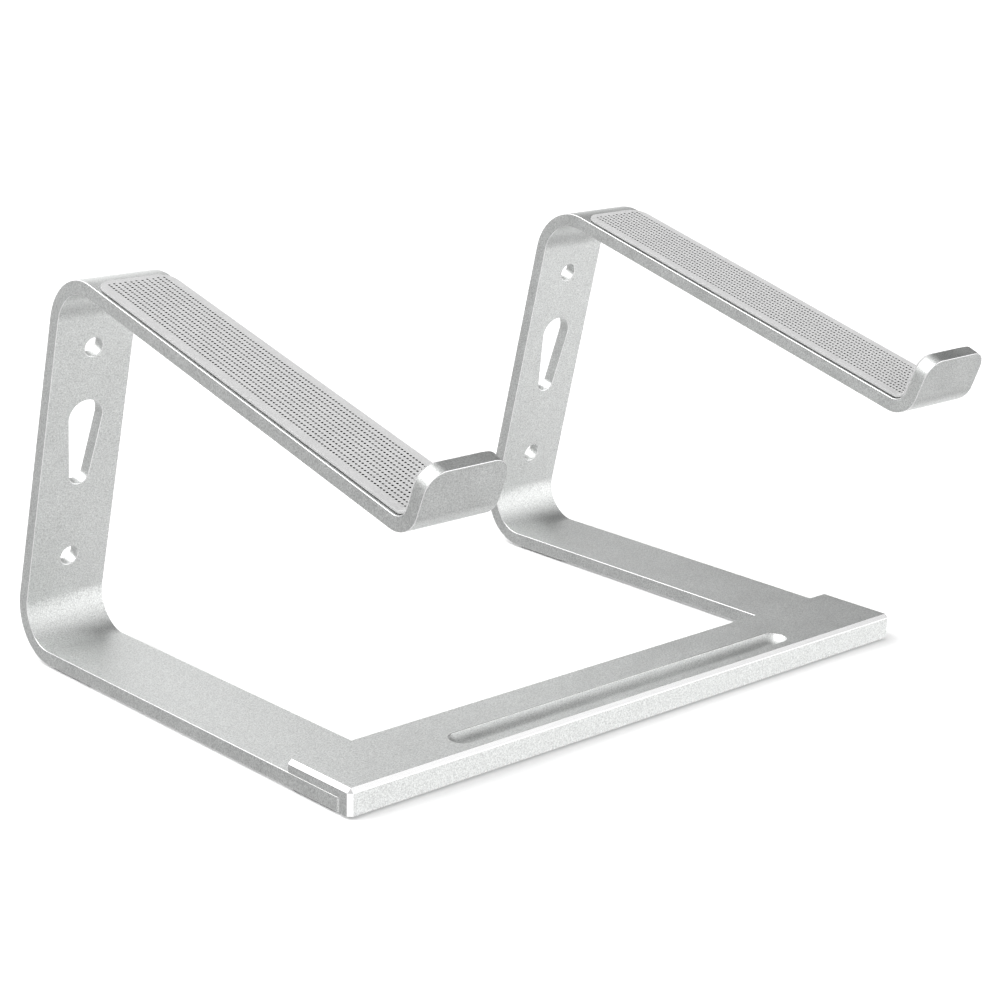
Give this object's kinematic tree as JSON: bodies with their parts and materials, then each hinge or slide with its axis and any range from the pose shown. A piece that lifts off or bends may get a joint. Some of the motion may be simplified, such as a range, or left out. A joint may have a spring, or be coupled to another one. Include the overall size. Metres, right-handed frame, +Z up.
{
  "type": "tablet stand",
  "caption": "Aluminium tablet riser with bent strip legs, front hooks and silicone liners, joined by a crossbar with a pen groove, on thin rubber feet.",
  "frame": {"origin": "centre of the footprint of the whole stand, on the surface that the feet stand on", "axes": "+X to the user's right along the crossbar, +Y away from the user towards the uprights, +Z up"},
  "size_m": [0.26, 0.2264, 0.1457],
  "materials": {
    "aluminium": "silver anodised over fine bead blasting, satin, with bright cut chamfers on the crossbar",
    "liner_silicone": "matt grey silicone with a fine raised diamond mesh",
    "foot_rubber": "matt light grey rubber",
    "screw_steel": "plain stainless steel"
  },
  "bodies": {
    "root": {"crossbar": "aluminium", "left_leg": "aluminium", "right_leg": "aluminium", "left_arm_pad": "liner_silicone", "right_arm_pad": "liner_silicone", "left_front_foot": "foot_rubber", "left_rear_foot": "foot_rubber", "right_front_foot": "foot_rubber", "right_rear_foot": "foot_rubber", "left_screw_1": "screw_steel", "left_screw_2": "screw_steel", "left_screw_3": "screw_steel", "right_screw_1": "screw_steel", "right_screw_2": "screw_steel", "right_screw_3": "screw_steel"}
  },
  "joints": []
}
